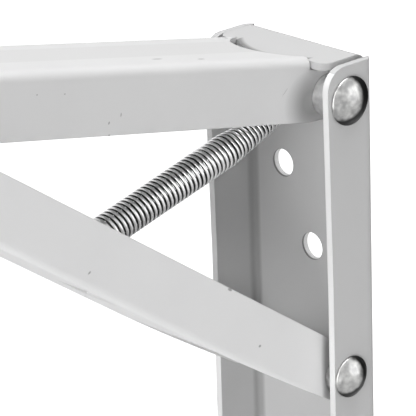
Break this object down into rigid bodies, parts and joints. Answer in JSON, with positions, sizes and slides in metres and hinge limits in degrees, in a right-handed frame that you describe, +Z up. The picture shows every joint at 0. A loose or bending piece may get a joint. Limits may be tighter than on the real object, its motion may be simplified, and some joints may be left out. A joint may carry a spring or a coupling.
{
  "type": "folding shelf bracket",
  "caption": "Folding wall bracket: a shelf arm and a brace on riveted pivots in a wall channel, with a coil spring that lifts the brace under a catch pin on the arm.",
  "frame": {"origin": "on the wall, at the middle of the back face, level with the upper pivot", "axes": "+Y out of the back face into the wall, +Z up, X along the pivots; the arm reaches out along -Y"},
  "size_m": [0.0522, 0.2953, 0.2256],
  "materials": {
    "white_coat": "satin white powder coat",
    "zinc_plate": "dull zinc plating",
    "spring_wire": "bright zinc-plated wire"
  },
  "bodies": {
    "mount_body": {"wall_channel": "white_coat", "upper_rivet": "zinc_plate", "upper_sleeve_near": "zinc_plate", "upper_sleeve_far": "zinc_plate", "upper_spacer_near": "zinc_plate", "upper_spacer_far": "zinc_plate", "lower_rivet": "zinc_plate", "lower_washer_near": "zinc_plate", "lower_washer_far": "zinc_plate"},
    "arm_body": {"arm": "white_coat", "catch_pin": "zinc_plate", "catch_sleeve": "zinc_plate", "catch_washer_near": "zinc_plate", "catch_washer_far": "zinc_plate"},
    "brace_body": {"brace": "white_coat"},
    "spring_body": {"spring": "spring_wire", "spring_hook_lower": "spring_wire"},
    "spring_end": {"spring_hook_upper": "spring_wire"}
  },
  "joints": [
    {"name": "arm_fold", "type": "hinge", "parent": "mount_body", "child": "arm_body", "pos_m": [0, -0.0095, 0], "axis": [1, 0, 0], "range_deg": [0, 90]},
    {"name": "brace_fold", "type": "hinge", "parent": "mount_body", "child": "brace_body", "pos_m": [0, -0.0106, -0.076], "axis": [1, 0, 0], "range_deg": [0, 110]},
    {"name": "spring_swing", "type": "hinge", "parent": "brace_body", "child": "spring_body", "pos_m": [0, -0.08046, -0.0255], "axis": [-1, 0, 0], "range_deg": [0, 44.89]},
    {"name": "spring_stretch", "type": "slide", "parent": "spring_body", "child": "spring_end", "axis": [0, 0.9694, 0.2453], "range_m": [0, 0.07769], "deforming": ["spring"]}
  ],
  "couplings": [
    {"joint": "brace_fold", "follows": "arm_fold", "ratio": 1.2222},
    {"joint": "spring_swing", "follows": "arm_fold", "ratio": 0.49877},
    {"joint": "spring_stretch", "follows": "arm_fold", "m_per_rad": 0.049456}
  ]
}
